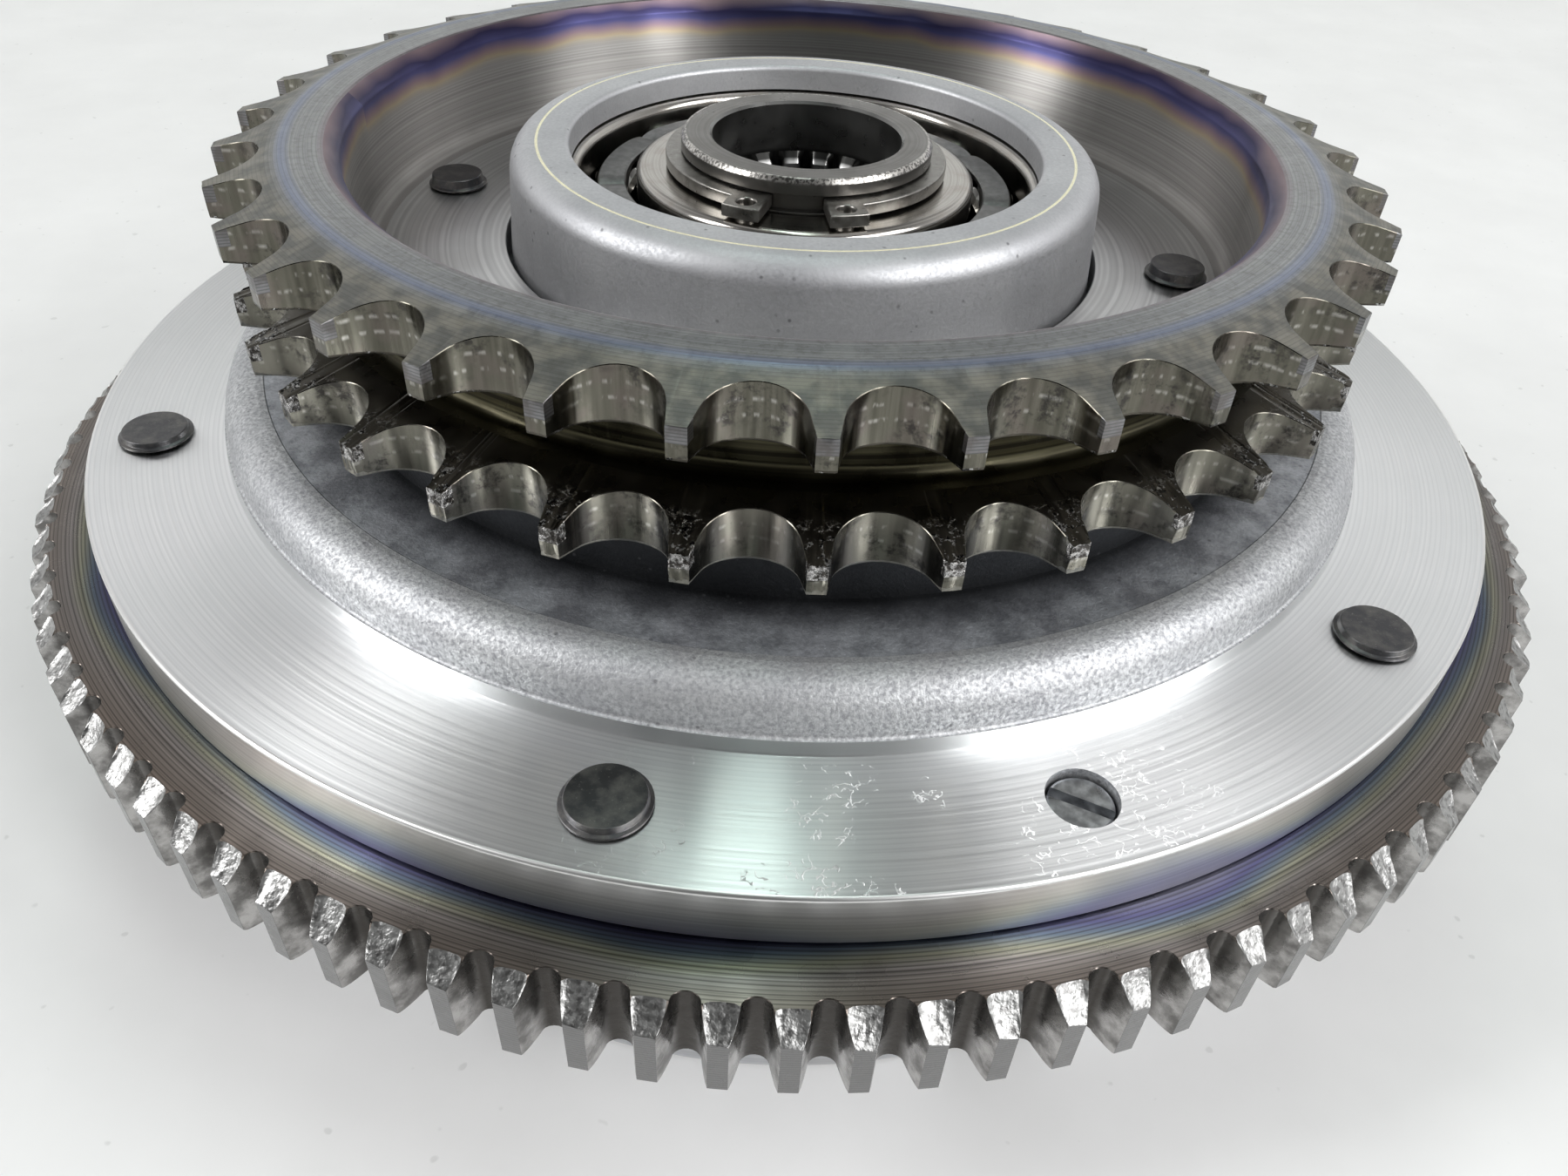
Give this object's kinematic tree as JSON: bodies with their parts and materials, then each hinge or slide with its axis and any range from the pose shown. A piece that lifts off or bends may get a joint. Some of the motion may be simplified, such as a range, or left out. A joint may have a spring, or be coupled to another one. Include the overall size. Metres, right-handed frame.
{
  "type": "motorcycle wet clutch with chain sprocket and starter ring gear",
  "caption": "Round multi-plate wet clutch: a shell with a duplex chain sprocket and a starter ring gear, turning on a ball bearing around a splined hub.",
  "frame": {"origin": "centre of the open rim that the clutch stands on, on its axis of rotation", "axes": "+Z along the axis of rotation, from the plate side towards the chain side; +X and +Y across it"},
  "size_m": [0.217, 0.217, 0.0946],
  "materials": {
    "shell_aluminium": "machined flange, blasted dome and boss",
    "sprocket_steel": "turned face, dark heat-treated teeth",
    "ring_gear_steel": "turned and heat-tinted, battered tooth ends",
    "rivet_steel": "black oxide",
    "screw_steel": "plated",
    "bearing_steel": "ground",
    "cage_steel": "pressed, matt",
    "hub_steel": "ground, worn edges",
    "spring_steel": "phosphated",
    "plate_steel": "tumbled",
    "friction_lining": "bonded friction material",
    "pressure_aluminium": "cast",
    "release_steel": "oiled"
  },
  "bodies": {
    "shell": {"clutch_shell": "shell_aluminium", "chain_sprocket": "sprocket_steel", "starter_ring_gear": "ring_gear_steel", "flange_rivet_1": "rivet_steel", "flange_rivet_2": "rivet_steel", "flange_rivet_3": "rivet_steel", "flange_rivet_4": "rivet_steel", "flange_rivet_5": "rivet_steel", "flange_rivet_6": "rivet_steel", "sprocket_rivet_1": "rivet_steel", "sprocket_rivet_2": "rivet_steel", "sprocket_rivet_3": "rivet_steel", "sprocket_rivet_4": "rivet_steel", "sprocket_rivet_5": "rivet_steel", "sprocket_rivet_6": "rivet_steel", "balance_screw": "screw_steel", "bearing_outer_race": "bearing_steel", "bearing_snap_ring": "spring_steel"},
    "bearing_cage_set": {"bearing_cage": "cage_steel", "bearing_ball_1": "bearing_steel", "bearing_ball_2": "bearing_steel", "bearing_ball_3": "bearing_steel", "bearing_ball_4": "bearing_steel", "bearing_ball_5": "bearing_steel", "bearing_ball_6": "bearing_steel", "bearing_ball_7": "bearing_steel", "bearing_ball_8": "bearing_steel", "bearing_ball_9": "bearing_steel"},
    "hub": {"hub_sleeve": "hub_steel", "hub_drum": "hub_steel", "bearing_inner_race": "bearing_steel", "hub_circlip": "spring_steel", "diaphragm_spring": "spring_steel", "spring_snap_ring": "spring_steel"},
    "pressure_set": {"pressure_plate": "pressure_aluminium", "release_plate": "release_steel", "release_snap_ring": "spring_steel"},
    "adjuster": {"adjuster_screw": "release_steel"},
    "lock_nut": {"adjuster_lock_nut": "release_steel"},
    "friction_plate_1_float": {"friction_plate_1": "friction_lining"},
    "steel_plate_1_float": {"steel_plate_1": "plate_steel"},
    "friction_plate_2_float": {"friction_plate_2": "friction_lining"},
    "steel_plate_2_float": {"steel_plate_2": "plate_steel"},
    "friction_plate_3_float": {"friction_plate_3": "friction_lining"},
    "steel_plate_3_float": {"steel_plate_3": "plate_steel"},
    "friction_plate_4_float": {"friction_plate_4": "friction_lining"},
    "steel_plate_4_float": {"steel_plate_4": "plate_steel"},
    "friction_plate_5_float": {"friction_plate_5": "friction_lining"},
    "steel_plate_5_float": {"steel_plate_5": "plate_steel"},
    "friction_plate_6_float": {"friction_plate_6": "friction_lining"},
    "steel_plate_6_float": {"steel_plate_6": "plate_steel"},
    "friction_plate_7_float": {"friction_plate_7": "friction_lining"}
  },
  "joints": [
    {"name": "hub_spin", "type": "hinge", "parent": "shell", "child": "hub", "pos_m": [0, 0, 0.058], "axis": [0, 0, 1], "continuous": true},
    {"name": "cage_spin", "type": "hinge", "parent": "shell", "child": "bearing_cage_set", "pos_m": [0, 0, 0.058], "axis": [0, 0, 1], "continuous": true},
    {"name": "release_slide", "type": "slide", "parent": "hub", "child": "pressure_set", "axis": [0, 0, -1], "range_m": [0, 0.0016], "stiffness_N_per_m": 5000, "springref_m": -0.02, "deforming": ["diaphragm_spring"]},
    {"name": "adjuster_turn", "type": "hinge", "parent": "pressure_set", "child": "adjuster", "pos_m": [0, 0, 0.013], "axis": [0, 0, 1], "range_deg": [-270, 270]},
    {"name": "lock_nut_turn", "type": "hinge", "parent": "pressure_set", "child": "lock_nut", "pos_m": [0, 0, 0.007], "axis": [0, 0, 1], "range_deg": [-180, 0]},
    {"name": "friction_plate_1_float", "type": "slide", "parent": "shell", "child": "friction_plate_1_float", "axis": [0, 0, -1], "range_m": [0, 0.0001153]},
    {"name": "steel_plate_1_float", "type": "slide", "parent": "hub", "child": "steel_plate_1_float", "axis": [0, 0, -1], "range_m": [0, 0.0002296]},
    {"name": "friction_plate_2_float", "type": "slide", "parent": "shell", "child": "friction_plate_2_float", "axis": [0, 0, -1], "range_m": [0, 0.0003439]},
    {"name": "steel_plate_2_float", "type": "slide", "parent": "hub", "child": "steel_plate_2_float", "axis": [0, 0, -1], "range_m": [0, 0.0004581]},
    {"name": "friction_plate_3_float", "type": "slide", "parent": "shell", "child": "friction_plate_3_float", "axis": [0, 0, -1], "range_m": [0, 0.0005724]},
    {"name": "steel_plate_3_float", "type": "slide", "parent": "hub", "child": "steel_plate_3_float", "axis": [0, 0, -1], "range_m": [0, 0.0006867]},
    {"name": "friction_plate_4_float", "type": "slide", "parent": "shell", "child": "friction_plate_4_float", "axis": [0, 0, -1], "range_m": [0, 0.000801]},
    {"name": "steel_plate_4_float", "type": "slide", "parent": "hub", "child": "steel_plate_4_float", "axis": [0, 0, -1], "range_m": [0, 0.0009153]},
    {"name": "friction_plate_5_float", "type": "slide", "parent": "shell", "child": "friction_plate_5_float", "axis": [0, 0, -1], "range_m": [0, 0.00103]},
    {"name": "steel_plate_5_float", "type": "slide", "parent": "hub", "child": "steel_plate_5_float", "axis": [0, 0, -1], "range_m": [0, 0.00114]},
    {"name": "friction_plate_6_float", "type": "slide", "parent": "shell", "child": "friction_plate_6_float", "axis": [0, 0, -1], "range_m": [0, 0.00126]},
    {"name": "steel_plate_6_float", "type": "slide", "parent": "hub", "child": "steel_plate_6_float", "axis": [0, 0, -1], "range_m": [0, 0.00137]},
    {"name": "friction_plate_7_float", "type": "slide", "parent": "shell", "child": "friction_plate_7_float", "axis": [0, 0, -1], "range_m": [0, 0.00149]}
  ],
  "couplings": [
    {"joint": "cage_spin", "follows": "hub_spin", "ratio": 0.397},
    {"joint": "friction_plate_1_float", "follows": "release_slide", "ratio": 0.07143},
    {"joint": "steel_plate_1_float", "follows": "release_slide", "ratio": 0.14286},
    {"joint": "friction_plate_2_float", "follows": "release_slide", "ratio": 0.21429},
    {"joint": "steel_plate_2_float", "follows": "release_slide", "ratio": 0.28571},
    {"joint": "friction_plate_3_float", "follows": "release_slide", "ratio": 0.35714},
    {"joint": "steel_plate_3_float", "follows": "release_slide", "ratio": 0.42857},
    {"joint": "friction_plate_4_float", "follows": "release_slide", "ratio": 0.5},
    {"joint": "steel_plate_4_float", "follows": "release_slide", "ratio": 0.57143},
    {"joint": "friction_plate_5_float", "follows": "release_slide", "ratio": 0.64286},
    {"joint": "steel_plate_5_float", "follows": "release_slide", "ratio": 0.71429},
    {"joint": "friction_plate_6_float", "follows": "release_slide", "ratio": 0.78571},
    {"joint": "steel_plate_6_float", "follows": "release_slide", "ratio": 0.85714},
    {"joint": "friction_plate_7_float", "follows": "release_slide", "ratio": 0.92857}
  ]
}
